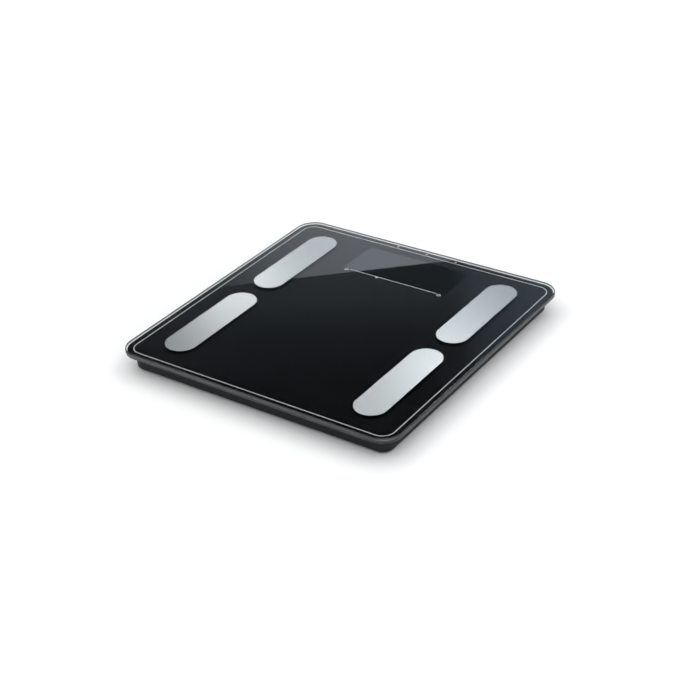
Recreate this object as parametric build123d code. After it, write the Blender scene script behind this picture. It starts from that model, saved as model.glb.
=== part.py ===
from build123d import *
import os
from math import radians, tan

# Digital bathroom scale, in millimetres. The origin is on the ground under the middle of the
# platform, +X is to the right of a person standing on it, +Y is towards the display, +Z is up.

# Glass platform
glass_width = 300.0
glass_depth = 308.0
glass_thickness = 5.0
glass_corner_radius = 20.0
glass_edge_round = 1.2

# Prints on the back of the glass
print_thickness = 0.2
print_margin = 2.0              # clear rim of glass outside the black print
border_inset = 8.0              # glass edge to the middle of the pale border line
border_line_width = 1.0
window_width = 117.0
window_depth = 49.0
window_corner_radius = 1.5
window_rear_gap = 11.0          # border line to the display window
gauge_line_length = 101.0       # printed line in front of the window
gauge_line_width = 1.0
gauge_line_gap = 0.5            # window to the printed line
gauge_mark_size = 4.2           # ring past each end of the line
gauge_mark_gap = 0.9
gauge_mark_drop = 1.6           # middle of the line to the middle of the ring
gauge_pointer_width = 5.6
gauge_pointer_height = 3.0
gauge_pointer_offset = -18.0    # pointer, from the middle of the line
key_mark_size = 2.6

# Electrodes with their studs, terminals and nuts
electrode_length = 120.6
electrode_width = 32.2
electrode_thickness = 0.4
electrode_edge_round = 0.15
electrode_side_gap = 21.0       # border line to the electrode
electrode_pair_gap = 16.3       # front electrode to rear electrode
stud_end_gap = 20.0             # inner end of the electrode to the stud
stud_radius = 1.5
stud_hole_clearance = 0.5
stud_pocket = 7.2               # room in the ribs, each way from the stud
stud_overrun = 0.8              # stud past its nut
terminal_thickness = 0.5
terminal_radius = 3.6
terminal_tail_width = 2.4
terminal_reach = 8.0            # stud axis to the end of the crimp
crimp_radius = 1.0
crimp_length = 4.0
nut_height = 2.4
nut_across_flats = 5.5
thread_clearance = 0.1

# Base tray
base_inset = 9.5                # glass edge to the side of the tray
base_gap = 2.2                  # ground to the underside of the tray
base_corner_radius = 10.5
base_edge_round = 1.5
base_wall = 2.2
base_floor = 2.2
tape_thickness = 0.5
rib_thickness = 1.6
rib_pitch = 36.0
rib_rows = 3
notch_margin = 4.0              # wire notch in the ribs, past the innermost wire

# Feet in their wells
foot_side_gap = 34.5            # side of the tray to the middle of the foot
foot_radius = 22.0
foot_wall = 1.8
foot_floor = 1.8
foot_flange = 1.0
foot_flange_thickness = 1.5
foot_chamfer = 0.8
foot_travel = 0.6
foot_drop = 0.6                 # how far the flange stands above the lip that keeps the foot in
foot_post_radius = 4.0
foot_clearance = 0.5
pad_radius = 19.5
pad_thickness = 1.6
pad_chamfer = 0.5
well_clearance = 0.6
well_lip_height = 1.5
well_ceiling_thickness = 2.2

# Load cells
load_cell_size = 29.0
load_cell_thickness = 2.5
load_cell_corner_radius = 4.0
load_cell_bar = 4.5             # width of the outer frame
tongue_width = 10.0
tongue_overhang = 6.0           # past the middle of the plate
rail_height = 2.0
gauge_width = 5.0
gauge_length = 6.0
gauge_thickness = 0.2
gauge_offset = 6.0              # middle of the plate to the middle of the gauge
cell_screw_offset = 9.0         # along the side bar, from the middle of the plate
tower_rib_offset = 8.0

# Screws
screw_radius = 1.0
screw_head_radius = 2.0
screw_head_height = 1.2
screw_hole_clearance = 0.3
screw_pilot_clearance = 0.05
screw_depth = 3.4               # into the plastic
board_screw_depth = 2.6
pilot_spare = 0.2               # hole past the end of the screw

# Wires
lead_radius = 0.6
lead_floor_gap = 0.2            # wire above the top of the wells
lead_bend = 6.0                 # largest bend where there is room
lane_inset = 4.0                # foot well to the nearest wire beside it
lane_pitch = 8.0
lead_turn = 8.0                 # wire past the last rib before it turns to its header
lead_approach = 20.0            # straight run into a header
lead_corner = 6.5
lead_slot_width = 2.4
lead_slot_length = 9.0
tower_notch_width = 4.0

# Battery compartment and its cover
cell_diameter = 10.5
cell_length = 44.5
cell_nub_radius = 1.9
cell_nub_length = 1.0
cell_gap = 0.6
cell_side_clearance = 0.4
cell_cover_gap = 0.3
cell_roof_gap = 0.2
battery_roof = 2.3
contact_thickness = 0.4
contact_height = 8.0
contact_edge_gap = 0.4          # side of the contact sheet to the side of its cell
spring_room = 4.0
spring_width = 5.0
spring_height = 7.0
spring_clearance = 0.1
tail_width = 3.0
tail_overrun = 1.5              # contact tail outside the compartment
tail_slot_clearance = 0.2
cover_thickness = 1.6
cover_ledge = 3.0               # cover past the mouth of the compartment
cover_gap = 0.3
cover_roof_gap = 0.1
cover_pin_length = 2.0
cover_pin_clearance = 0.05
cover_ridge_length = 12.0
cover_ridge_radius = 0.25
finger_scoop_radius = 7.0
finger_scoop_depth = 1.5
block_wall = 3.0
lead_corridor = 14.0            # compartment to the circuit board

# Circuit board and what stands on it
board_side_margin = 3.5         # board past the window on each side
board_thickness = 1.6
board_wall_gap = 2.5            # rear wall of the tray to the board
board_front_strip = 15.0        # board in front of the window
boss_height = 4.3
boss_radius = 3.2
boss_inset = 4.2
front_boss_x = 18.0
header_width = 5.4
header_depth = 5.0
header_setback = 1.5
header_pitch = 6.0
header_edge_gap = 4.0           # side of the board to the middle of the last header
headers_each_side = 4
chip_size = 10.0
chip_thickness = 1.4
capacitor_width = 3.2
capacitor_depth = 1.6
capacitor_height = 1.5
capacitor_count = 5
capacitor_pitch = 9.0

# Display under the window
panel_margin = 4.0              # edge of the window to the edge of the panel
panel_thickness = 2.0
backlight_thickness = 2.5
frame_wall = 2.0
frame_clearance = 0.2
frame_top_gap = 0.2
frame_ledge = 2.0
frame_ledge_thickness = 1.5
zebra_width = 2.0
zebra_end_gap = 5.0
zebra_side_gap = 0.4

# Setting keys in the rear wall and the switches that they press
key_pitch = 34.0
key_width = 14.0
key_height = 4.5
key_corner_radius = 1.6
key_proud = 0.6
key_clearance = 0.2
key_top_gap = 3.4               # top of the tray to the middle of the key
key_travel = 0.8
key_flange = 0.8                # flange past the cap all round
key_flange_thickness = 1.2
key_stem_radius = 1.2
key_stem_entry = 0.5            # stem inside its switch at rest
switch_width = 6.0
switch_depth = 3.5
switch_setback = 0.7
switch_bore_clearance = 0.1

# Unit switch under the board
unit_switch_x = -30.0
unit_switch_setback = 9.0       # front edge of the board to the middle of the switch
unit_switch_wall = 1.2
unit_switch_floor_gap = 0.2
unit_travel = 1.5               # each way
unit_knob_width = 2.6
unit_knob_depth = 2.0
unit_knob_recess = 0.4
unit_knob_clearance = 0.2
unit_groove_depth = 1.6

# Heights, worked out from the ground up
base_height = cover_thickness + cell_cover_gap + cell_diameter + cell_roof_gap + battery_roof
base_top = base_gap + base_height
floor_top = base_gap + base_floor
print_bottom = base_top + tape_thickness
glass_bottom = print_bottom + print_thickness
glass_top = glass_bottom + glass_thickness
foot_floor_top = pad_thickness + foot_floor
load_cell_bottom = foot_floor_top + foot_travel + screw_head_height + foot_clearance
load_cell_top = load_cell_bottom + load_cell_thickness
gauge_top = load_cell_top + gauge_thickness
well_ceiling = load_cell_top + rail_height
well_top = well_ceiling + well_ceiling_thickness
lip_top = base_gap + well_lip_height
flange_bottom = lip_top + foot_drop
flange_top = flange_bottom + foot_flange_thickness
lead_height = well_top + lead_floor_gap + lead_radius
board_bottom = floor_top + boss_height
board_top = board_bottom + board_thickness
header_height = 2 * (lead_height - board_top)
panel_bottom = print_bottom - panel_thickness
backlight_bottom = panel_bottom - backlight_thickness
terminal_bottom = print_bottom - terminal_thickness
nut_bottom = terminal_bottom - nut_height
crimp_height = terminal_bottom - crimp_radius + terminal_thickness / 2
cell_middle = base_gap + cover_thickness + cell_cover_gap + cell_diameter / 2
cover_axis_height = base_gap + cover_thickness / 2
key_middle = base_top - key_top_gap

# Places in plan
base_width = glass_width - 2 * base_inset
base_depth = glass_depth - 2 * base_inset
inner_width = base_width - 2 * base_wall
inner_depth = base_depth - 2 * base_wall
border_width = glass_width - 2 * border_inset
border_depth = glass_depth - 2 * border_inset
border_radius = glass_corner_radius - border_inset
window_y = border_depth / 2 - window_rear_gap - window_depth / 2
gauge_line_y = window_y - window_depth / 2 - gauge_line_gap - gauge_line_width / 2
key_mark_y = (border_depth / 2 + glass_depth / 2 - print_margin) / 2
electrode_x = border_width / 2 - electrode_side_gap - electrode_width / 2
electrode_y = (electrode_pair_gap + electrode_length) / 2
stud_y = electrode_pair_gap / 2 + stud_end_gap
foot_x = base_width / 2 - foot_side_gap
foot_y = base_depth / 2 - foot_side_gap
well_radius = foot_radius + foot_flange + well_clearance
lip_radius = foot_radius + well_clearance
tower_radius = well_radius + base_wall
side_bar_y = (load_cell_size - load_cell_bar) / 2
inner_lane = foot_x - tower_radius - lane_inset
outer_lane = inner_lane + lane_pitch
board_width = window_width + 2 * board_side_margin
board_front = window_y - window_depth / 2 - board_front_strip
board_rear = inner_depth / 2 - board_wall_gap
board_y = (board_front + board_rear) / 2
header_y = board_front + header_setback
compartment_length = cell_length + spring_room + contact_thickness
compartment_depth = 3 * cell_diameter + 2 * cell_gap + 2 * cell_side_clearance
cover_width = compartment_length + 2 * cover_ledge
cover_depth = compartment_depth + 2 * cover_ledge
block_width = cover_width + 2 * cover_gap + 2 * block_wall
block_depth = cover_depth + 2 * cover_gap + 2 * block_wall
battery_y = board_front - lead_corridor - block_depth / 2
cover_axis_y = battery_y - cover_depth / 2 + cover_thickness / 2
panel_width = window_width - 2 * panel_margin
panel_depth = window_depth - 2 * panel_margin
unit_switch_y = board_front + unit_switch_setback
switch_face_y = board_rear - switch_setback
corners = {"front_left": (-1, -1), "front_right": (1, -1), "rear_left": (-1, 1), "rear_right": (1, 1)}
key_places = {"key_down": -key_pitch, "key_set": 0.0, "key_up": key_pitch}
battery_rows = {"battery_front": -1, "battery_middle": 0, "battery_rear": 1}
board_bosses = [(side * front_boss_x, board_front + boss_inset) for side in (-1, 1)]
board_bosses += [(side * (board_width / 2 - boss_inset), board_rear - boss_inset) for side in (-1, 1)]
STANDING = (Align.CENTER, Align.CENTER, Align.MIN)


def slab(width, depth, corner, bottom, thickness):
    """Flat plate with rounded corners, centred on the origin in plan."""
    return Pos(0, 0, bottom) * extrude(RectangleRounded(width, depth, corner), thickness)


def block(x, y, bottom, width, depth, height):
    """Box centred on x and y, standing on its bottom height."""
    return Pos(x, y, bottom) * Box(width, depth, height, align=STANDING)


def post(x, y, bottom, radius, height):
    """Upright cylinder standing on its bottom height."""
    return Pos(x, y, bottom) * Cylinder(radius, height, align=STANDING)


def cross_bar(x, y, z, radius, length):
    """Round bar along X, centred on x, y and z."""
    return Pos(x, y, z) * Rot(0, 90, 0) * Cylinder(radius, length)


def turned(points):
    """Solid of revolution about Z, from radius and height points."""
    return revolve(Plane.XZ * make_face(Polyline(*points, close=True)), Axis.Z)


def group(solids):
    """Separate solids kept together as one node."""
    return Compound(children=list(solids))


def wire(points):
    """Round wire along straight runs, each corner bent as widely as its runs allow."""
    vectors = [Vector(*point) for point in points]
    bends = []
    for before, corner, after in zip(vectors, vectors[1:], vectors[2:]):
        turn = (corner - before).get_angle(after - corner)
        room = 0.45 * min((corner - before).length, (after - corner).length)
        bends.append(min(lead_bend, room / tan(radians(turn / 2))))
    path = FilletPolyline(*vectors, radius=bends)
    section = Plane(origin=path @ 0, z_dir=path % 0) * Circle(lead_radius)
    return sweep(section, path=path)


def pan_screw(depth, through):
    """Pan head screw, its head's seat at the origin and its shank up along Z."""
    head = post(0, 0, -screw_head_height, screw_head_radius, screw_head_height)
    return head + post(0, 0, 0, screw_radius, through + depth)


def foot_place(side, end):
    """Middle of a foot on the ground, turned so that its own +X points to the middle of the scale."""
    return Pos(side * foot_x, end * foot_y, 0) * Rot(0, 0, 180 if side > 0 else 0)


def studs():
    """Stud axes, one for each electrode."""
    return [(side * electrode_x, end * stud_y) for side, end in corners.values()]


def pale_shapes():
    """Outlines of the pale print: border line, line under the window and small key marks."""
    outer = RectangleRounded(border_width + border_line_width, border_depth + border_line_width,
                             border_radius + border_line_width / 2)
    inner = RectangleRounded(border_width - border_line_width, border_depth - border_line_width,
                             border_radius - border_line_width / 2)
    shapes = [outer - inner]
    line = Pos(0, gauge_line_y) * Rectangle(gauge_line_length, gauge_line_width)
    half_width = gauge_pointer_width / 2
    half_height = gauge_pointer_height / 2
    pointer = Polygon((-half_width, half_height), (0, -half_height), (half_width, half_height))
    line += Pos(gauge_pointer_offset, gauge_line_y - half_height) * pointer
    shapes.append(line)
    mark_radius = gauge_mark_size / 2
    mark_x = gauge_line_length / 2 + gauge_mark_gap + mark_radius
    for side in (-1, 1):
        ring = Circle(mark_radius) - Circle(mark_radius - gauge_line_width)
        shapes.append(Pos(side * mark_x, gauge_line_y - gauge_mark_drop) * ring)
    half = key_mark_size / 2
    arrow = Polygon((-half, half), (0, -half), (half, half))
    shapes.append(Pos(key_places["key_down"], key_mark_y) * arrow)
    shapes.append(Pos(key_places["key_set"], key_mark_y) * (Circle(half) - Circle(half / 2)))
    shapes.append(Pos(key_places["key_up"], key_mark_y) * Rot(0, 0, 180) * arrow)
    return shapes


def glass_platform():
    """Toughened glass plate with a rounded rim and a hole for each electrode stud."""
    plate = slab(glass_width, glass_depth, glass_corner_radius, glass_bottom, glass_thickness)
    levels = plate.edges().group_by(Axis.Z)
    plate = fillet(levels[0] + levels[-1], glass_edge_round)
    for x, y in studs():
        plate -= post(x, y, glass_bottom, stud_radius + stud_hole_clearance, glass_thickness)
    return plate


def pale_print():
    """Pale ink in the same layer as the black print."""
    return group(extrude(Pos(0, 0, print_bottom) * shape, print_thickness) for shape in pale_shapes())


def display_filter():
    """Smoked film that fills the display window."""
    film = slab(window_width, window_depth, window_corner_radius, print_bottom, print_thickness)
    return Pos(0, window_y, 0) * film


def back_print():
    """Black printed film on the back of the glass, open at the window and the pale print."""
    film = slab(glass_width - 2 * print_margin, glass_depth - 2 * print_margin,
                glass_corner_radius - print_margin, print_bottom, print_thickness)
    film -= display_filter()
    for shape in pale_shapes():
        film -= extrude(Pos(0, 0, print_bottom) * shape, print_thickness)
    for x, y in studs():
        film -= post(x, y, print_bottom, stud_radius + stud_hole_clearance, print_thickness)
    return film


def electrode(side, end):
    """Steel plate with round ends and the stud that is welded under it, near its inner end."""
    plate = extrude(SlotOverall(electrode_length, electrode_width, rotation=90), electrode_thickness)
    plate = fillet(plate.edges().group_by(Axis.Z)[-1], electrode_edge_round)
    stud_length = glass_top - nut_bottom + stud_overrun
    plate += post(0, end * (stud_y - electrode_y), -stud_length, stud_radius, stud_length)
    return Pos(side * electrode_x, end * electrode_y, glass_top) * plate


def electrode_nut(x, y):
    """Hexagon nut under the terminal."""
    nut = extrude(RegularPolygon(nut_across_flats / 2, 6, major_radius=False), nut_height)
    nut -= post(0, 0, 0, stud_radius + thread_clearance, nut_height)
    return Pos(x, y, nut_bottom) * nut


def electrode_terminal(x, y):
    """Ring terminal with a crimp that points to the middle of the scale."""
    inward = -1 if x > 0 else 1
    tail_middle = inward * (terminal_reach - crimp_length / 2) / 2
    tail_length = terminal_reach - crimp_length / 2
    ring = post(0, 0, 0, terminal_radius, terminal_thickness)
    ring += block(tail_middle, 0, 0, tail_length, terminal_tail_width, terminal_thickness)
    crimp_x = inward * (terminal_reach - crimp_length / 2)
    ring += cross_bar(crimp_x, 0, crimp_height - terminal_bottom, crimp_radius, crimp_length)
    ring -= post(0, 0, 0, stud_radius + thread_clearance, terminal_thickness)
    return Pos(x, y, terminal_bottom) * ring


def mounting_tape():
    """Foam tape between the tray and the glass: rim, four wells and the battery roof."""
    rim = RectangleRounded(base_width, base_depth, base_corner_radius)
    rim -= RectangleRounded(inner_width, inner_depth, base_corner_radius - base_wall)
    pieces = [rim, Pos(0, battery_y) * Rectangle(compartment_length, compartment_depth)]
    ring = Circle(tower_radius) - Circle(well_radius)
    pieces += [foot_place(side, end) * ring for side, end in corners.values()]
    return group(extrude(Pos(0, 0, base_top) * piece, tape_thickness) for piece in pieces)


def tray_shell():
    """Open tray with a rounded lower edge, outside and inside."""
    outer = slab(base_width, base_depth, base_corner_radius, base_gap, base_height)
    edge_round = min(base_edge_round, 0.9 * base_corner_radius)
    outer = fillet(outer.edges().group_by(Axis.Z)[0], edge_round)
    inner = slab(inner_width, inner_depth, base_corner_radius - base_wall, floor_top, base_height)
    inner_round = min(max(edge_round - base_wall, base_wall / 2), 0.9 * (base_corner_radius - base_wall))
    inner = fillet(inner.edges().group_by(Axis.Z)[0], inner_round)
    return outer - inner


def tray_ribs():
    """Ribs under the front half of the glass, with notches for the wires and room for the studs."""
    first_row = battery_y - block_depth / 2
    height = base_top - floor_top
    notch_inner = inner_lane - notch_margin
    notch_bottom = lead_height - lead_radius - lead_floor_gap
    ribs = []
    for row in range(rib_rows + 1):
        y = first_row - row * rib_pitch
        rib = block(0, y, floor_top, inner_width, rib_thickness, height)
        for side in (-1, 1):
            rib -= block(side * (notch_inner + electrode_x) / 2, y, notch_bottom, electrode_x - notch_inner,
                         rib_thickness, base_top - notch_bottom)
        ribs.append(rib)
    length = first_row + inner_depth / 2
    for x in (-rib_pitch, 0, rib_pitch):
        ribs.append(block(x, first_row - length / 2, floor_top, rib_thickness, length, height))
    lattice = ribs[0].fuse(*ribs[1:])
    for x, y in studs():
        lattice -= block(x, y, floor_top, 2 * stud_pocket, 2 * stud_pocket, height)
    return lattice


def foot_well():
    """What fills a well: lip, ceiling, rails for the load cell and ribs up to the glass."""
    lip = post(0, 0, base_gap, well_radius, well_lip_height)
    lip -= post(0, 0, base_gap, lip_radius, well_lip_height)
    ceiling = post(0, 0, well_ceiling, well_radius, well_ceiling_thickness)
    slot_x = gauge_offset + lead_slot_length / 2 - lead_slot_width / 2
    ceiling -= block(slot_x, 0, well_ceiling, lead_slot_length, lead_slot_width, well_ceiling_thickness)
    room = post(0, 0, well_top, well_radius, base_top - well_top)
    rail_length = load_cell_size - 2 * load_cell_corner_radius
    for hand in (-1, 1):
        ceiling += block(0, hand * side_bar_y, load_cell_top, rail_length, load_cell_bar, rail_height)
        rib = block(0, hand * tower_rib_offset, well_top, 2 * well_radius, rib_thickness, base_top - well_top)
        ceiling += rib & room
    for x, y in cell_screw_places():
        ceiling -= post(x, y, load_cell_top, screw_radius + screw_pilot_clearance, screw_depth + pilot_spare)
    return [lip, ceiling]


def cell_screw_places():
    """Screw axes of a load cell, from its middle."""
    return [(along * cell_screw_offset, hand * side_bar_y) for along in (-1, 1) for hand in (-1, 1)]


def battery_block():
    """Walls and roof of the battery compartment, with the seat and the pin holes of its cover."""
    walls = block(0, battery_y, base_gap, block_width, block_depth, base_height)
    walls -= block(0, battery_y, base_gap, compartment_length, compartment_depth, base_height - battery_roof)
    for tail_x, tail_y in tail_places():
        slot_height = contact_thickness + 2 * tail_slot_clearance
        walls -= block(tail_x, tail_y, cell_middle - slot_height / 2, block_width / 2,
                       tail_width + 2 * tail_slot_clearance, slot_height)
    return walls


def cover_seat():
    """Room that the battery cover, its pins and a fingertip take from the tray."""
    seat = block(0, battery_y, base_gap, cover_width + 2 * cover_gap, cover_depth + 2 * cover_gap,
                 cover_thickness + cover_roof_gap)
    pin_span = cover_width + 2 * (cover_gap + cover_pin_length)
    seat += cross_bar(0, cover_axis_y, cover_axis_height, cover_thickness / 2 + cover_pin_clearance, pin_span)
    rear_edge = battery_y + cover_depth / 2
    seat += post(0, rear_edge, base_gap, finger_scoop_radius, finger_scoop_depth)
    return seat


def base_tray():
    """Moulded tray: shell, ribs, foot wells, battery compartment, board bosses and openings."""
    tray = tray_shell() + tray_ribs()
    for side, end in corners.values():
        tray += foot_place(side, end) * post(0, 0, base_gap, tower_radius, base_height)
        tray -= foot_place(side, end) * post(0, 0, base_gap, well_radius, base_height)
        for piece in foot_well():
            tray += foot_place(side, end) * piece
        notch = block(well_radius + base_wall / 2, 0, well_top, 2 * base_wall, tower_notch_width,
                      base_top - well_top)
        tray -= foot_place(side, end) * notch
    tray -= block(0, battery_y, base_gap, block_width, block_depth, base_height)
    tray += battery_block()
    tray -= cover_seat()
    for x, y in board_bosses:
        tray += post(x, y, floor_top, boss_radius, boss_height)
        pilot_depth = board_screw_depth + pilot_spare
        tray -= post(x, y, board_bottom - pilot_depth, screw_radius + screw_pilot_clearance, pilot_depth)
    slot_length = unit_knob_width + 2 * unit_travel + 2 * unit_knob_clearance
    tray -= block(unit_switch_x, unit_switch_y, base_gap, slot_length,
                  unit_knob_depth + 2 * unit_knob_clearance, base_floor)
    for x in key_places.values():
        opening = RectangleRounded(key_width + 2 * key_clearance, key_height + 2 * key_clearance,
                                   key_corner_radius + key_clearance)
        tray -= Pos(x, inner_depth / 2, key_middle) * Rot(-90, 0, 0) * extrude(opening, base_wall)
        pocket_margin = 2 * (key_flange + key_clearance)
        pocket_height = key_height + pocket_margin
        tray -= block(x, inner_depth / 2 - base_wall, key_middle - pocket_height / 2,
                      key_width + pocket_margin, 2 * base_wall, pocket_height)
    return tray


def foot_shell(side, end):
    """Cup with a flange that the lip of the well keeps in, and a post under the load cell's tongue."""
    inside = foot_radius - foot_wall
    rim = foot_radius + foot_flange
    cup = turned([(0, pad_thickness), (foot_radius - foot_chamfer, pad_thickness),
                  (foot_radius, pad_thickness + foot_chamfer), (foot_radius, flange_bottom),
                  (rim, flange_bottom), (rim, flange_top), (inside, flange_top), (inside, foot_floor_top),
                  (foot_post_radius, foot_floor_top), (foot_post_radius, load_cell_bottom),
                  (0, load_cell_bottom)])
    return foot_place(side, end) * cup


def foot_pad(side, end):
    """Rubber disc with a bevelled lower edge."""
    pad = turned([(0, 0), (pad_radius - pad_chamfer, 0), (pad_radius, pad_chamfer),
                  (pad_radius, pad_thickness), (0, pad_thickness)])
    return foot_place(side, end) * pad


def load_cell(side, end):
    """Steel plate whose tongue, cut free on three sides, bends under the foot's post."""
    plate = slab(load_cell_size, load_cell_size, load_cell_corner_radius, load_cell_bottom,
                 load_cell_thickness)
    opening = load_cell_size - 2 * load_cell_bar
    plate -= block(0, 0, load_cell_bottom, opening, opening, load_cell_thickness)
    tongue_length = opening / 2 + tongue_overhang
    tongue_x = (opening - tongue_length) / 2
    plate += block(tongue_x, 0, load_cell_bottom, tongue_length, tongue_width, load_cell_thickness)
    for x, y in cell_screw_places():
        plate -= post(x, y, load_cell_bottom, screw_radius + screw_hole_clearance, load_cell_thickness)
    return foot_place(side, end) * plate


def strain_gauge(side, end):
    """Foil gauge on the root of the tongue."""
    foil = block(gauge_offset, 0, load_cell_top, gauge_length, gauge_width, gauge_thickness)
    return foot_place(side, end) * foil


def load_cell_screws():
    """Screws that hold the load cells to the rails in their wells."""
    screw = pan_screw(screw_depth, load_cell_thickness)
    return group(foot_place(side, end) * Pos(x, y, load_cell_bottom) * screw
                 for side, end in corners.values() for x, y in cell_screw_places())


def header_x(place, side):
    """Middle of a wire header, counted outwards from the first on that side of the board."""
    last = board_width / 2 - header_edge_gap
    return side * (last - (headers_each_side - 1 - place) * header_pitch)


def load_cell_lead(side, end):
    """Gauge wire: up through the well's ceiling, out of its notch and along the tray to its header."""
    gauge_x = side * (foot_x - gauge_offset)
    y = end * foot_y
    start = [(gauge_x, y, gauge_top), (gauge_x, y, lead_height)]
    if end < 0:
        lane = side * inner_lane
        header = header_x(0, side)
        turn_y = battery_y - block_depth / 2 + lead_turn
        route = [(lane, y, lead_height), (lane, turn_y, lead_height),
                 (header, header_y - lead_approach, lead_height)]
    else:
        lane = side * (foot_x - tower_radius + board_width / 2) / 2
        header = header_x(3, side)
        turn_y = header_y - lead_corner
        route = [(lane, y, lead_height), (lane, turn_y, lead_height),
                 ((lane + header) / 2, turn_y - lead_corner, lead_height), (header, turn_y, lead_height)]
    return wire(start + route + [(header, header_y, lead_height)])


def electrode_lead(side, end):
    """Electrode wire: from its crimp to its lane, down to the level of the others and on to its header."""
    x = side * (electrode_x - terminal_reach)
    y = end * stud_y
    if end < 0:
        lane = side * outer_lane
        header = header_x(1, side)
        turn_y = battery_y - block_depth / 2 + lead_turn
    else:
        lane = side * (outer_lane + lane_pitch)
        header = header_x(2, side)
        turn_y = header_y - lead_approach - lane_pitch
    return wire([(x, y, crimp_height), (lane, y, crimp_height), (lane, turn_y, lead_height),
                 (header, header_y - lead_approach, lead_height), (header, header_y, lead_height)])


def battery_lead(side):
    """Wire from the end of a contact tail along the compartment to the middle header."""
    tail_y = battery_row_y(side)
    lane = side * (block_width / 2 + tail_overrun + lead_radius)
    turn_y = battery_y + block_depth / 2 + lead_corner
    header = side * header_width / 4
    return wire([(lane, tail_y, cell_middle), (lane, tail_y + lead_turn, lead_height),
                 (lane, turn_y, lead_height), (side * lead_turn, turn_y, lead_height),
                 (header, header_y - lead_corner / 2, lead_height), (header, header_y, lead_height)])


def main_board():
    """Circuit board with its screw holes."""
    board = block(0, board_y, board_bottom, board_width, board_rear - board_front, board_thickness)
    for x, y in board_bosses:
        board -= post(x, y, board_bottom, screw_radius + screw_hole_clearance, board_thickness)
    return board


def board_screws():
    """Screws through the board into its bosses."""
    screw = Rot(180, 0, 0) * pan_screw(board_screw_depth, board_thickness)
    return group(Pos(x, y, board_top) * screw for x, y in board_bosses)


def wire_headers():
    """Headers along the front of the board: a row on each side and one for the batteries."""
    places = [header_x(place, side) for side in (-1, 1) for place in range(headers_each_side)] + [0]
    middle_y = header_y + header_depth / 2
    return group(block(x, middle_y, board_top, header_width, header_depth, header_height) for x in places)


def controller_chip():
    """Controller on the board, under the display."""
    return block(0, window_y, board_top, chip_size, chip_size, chip_thickness)


def board_components():
    """Row of small capacitors beside the controller."""
    first = chip_size / 2 + capacitor_pitch / 2
    return group(block(first + place * capacitor_pitch, window_y, board_top, capacitor_width,
                       capacitor_depth, capacitor_height) for place in range(capacitor_count))


def display_panel():
    """Display glass against the smoked film."""
    return block(0, window_y, panel_bottom, panel_width, panel_depth, panel_thickness)


def backlight():
    """Light guide behind the panel, short at the front to leave room for the contact strip."""
    short = zebra_width + 2 * zebra_side_gap
    return block(0, window_y + short / 2, backlight_bottom, panel_width, panel_depth - short,
                 backlight_thickness)


def zebra_strip():
    """Rubber contact strip between the board and the front edge of the panel."""
    strip_y = window_y - panel_depth / 2 + zebra_side_gap + zebra_width / 2
    return block(0, strip_y, board_top, panel_width - 2 * zebra_end_gap, zebra_width,
                 panel_bottom - board_top)


def display_frame():
    """Frame that stands on the board and carries the panel and its light guide on two ledges."""
    height = print_bottom - frame_top_gap - board_top
    inside_width = panel_width + 2 * frame_clearance
    inside_depth = panel_depth + 2 * frame_clearance
    frame = block(0, window_y, board_top, inside_width + 2 * frame_wall,
                  inside_depth + 2 * frame_wall, height)
    frame -= block(0, window_y, board_top, inside_width, inside_depth, height)
    ledge_bottom = backlight_bottom - frame_ledge_thickness
    for side in (-1, 1):
        ledge_x = side * (inside_width - frame_ledge) / 2
        frame += block(ledge_x, window_y, ledge_bottom, frame_ledge, inside_depth, frame_ledge_thickness)
    return frame


def setting_key(x):
    """Key cap through the rear wall, with a flange behind the wall and a stem into its switch."""
    flange_y = inner_depth / 2 - key_flange_thickness
    cap = extrude(RectangleRounded(key_width, key_height, key_corner_radius), base_wall + key_proud)
    flange = extrude(RectangleRounded(key_width + 2 * key_flange, key_height + 2 * key_flange,
                                      key_corner_radius + key_flange), key_flange_thickness)
    stem_length = flange_y - switch_face_y + key_stem_entry
    stem = extrude(Circle(key_stem_radius), -stem_length)
    key = Pos(0, 0, key_flange_thickness) * cap + flange + stem
    return Pos(x, flange_y, key_middle) * Rot(-90, 0, 0) * key


def key_switch(x):
    """Push switch at the rear edge of the board, bored for the stem of its key."""
    height = 2 * (key_middle - board_top)
    body = block(x, switch_face_y - switch_depth / 2, board_top, switch_width, switch_depth, height)
    bore_depth = key_stem_entry + key_travel + switch_bore_clearance
    bore = extrude(Circle(key_stem_radius + switch_bore_clearance), -bore_depth)
    return body - Pos(x, switch_face_y, key_middle) * Rot(-90, 0, 0) * bore


def unit_switch_body():
    """Slide switch on the underside of the board, with a groove for its knob."""
    groove_length = unit_knob_width + 2 * unit_travel + 2 * unit_knob_clearance
    groove_width = unit_knob_depth + 2 * unit_knob_clearance
    bottom = floor_top + unit_switch_floor_gap
    body = block(unit_switch_x, unit_switch_y, bottom, groove_length + 2 * unit_switch_wall,
                 groove_width + 2 * unit_switch_wall, board_bottom - bottom)
    return body - block(unit_switch_x, unit_switch_y, bottom, groove_length, groove_width, unit_groove_depth)


def unit_switch_knob():
    """Knob that slides in the groove and is reached through the slot in the tray."""
    bottom = base_gap + unit_knob_recess
    top = floor_top + unit_switch_floor_gap + unit_groove_depth - unit_knob_clearance
    return block(unit_switch_x, unit_switch_y, bottom, unit_knob_width, unit_knob_depth, top - bottom)


def battery_cover():
    """Cover with a round front edge that carries its pins, and a small ridge that clicks at the rear."""
    flat_depth = cover_depth - cover_thickness / 2
    plate = block(0, cover_axis_y + flat_depth / 2, base_gap, cover_width, flat_depth, cover_thickness)
    plate += cross_bar(0, cover_axis_y, cover_axis_height, cover_thickness / 2,
                       cover_width + 2 * cover_pin_length)
    plate += cross_bar(0, battery_y + cover_depth / 2, cover_axis_height, cover_ridge_radius,
                       cover_ridge_length)
    return plate


def battery_row_y(row):
    """Axis of a battery, counted from the middle one."""
    return battery_y + row * (cell_diameter + cell_gap)


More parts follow.
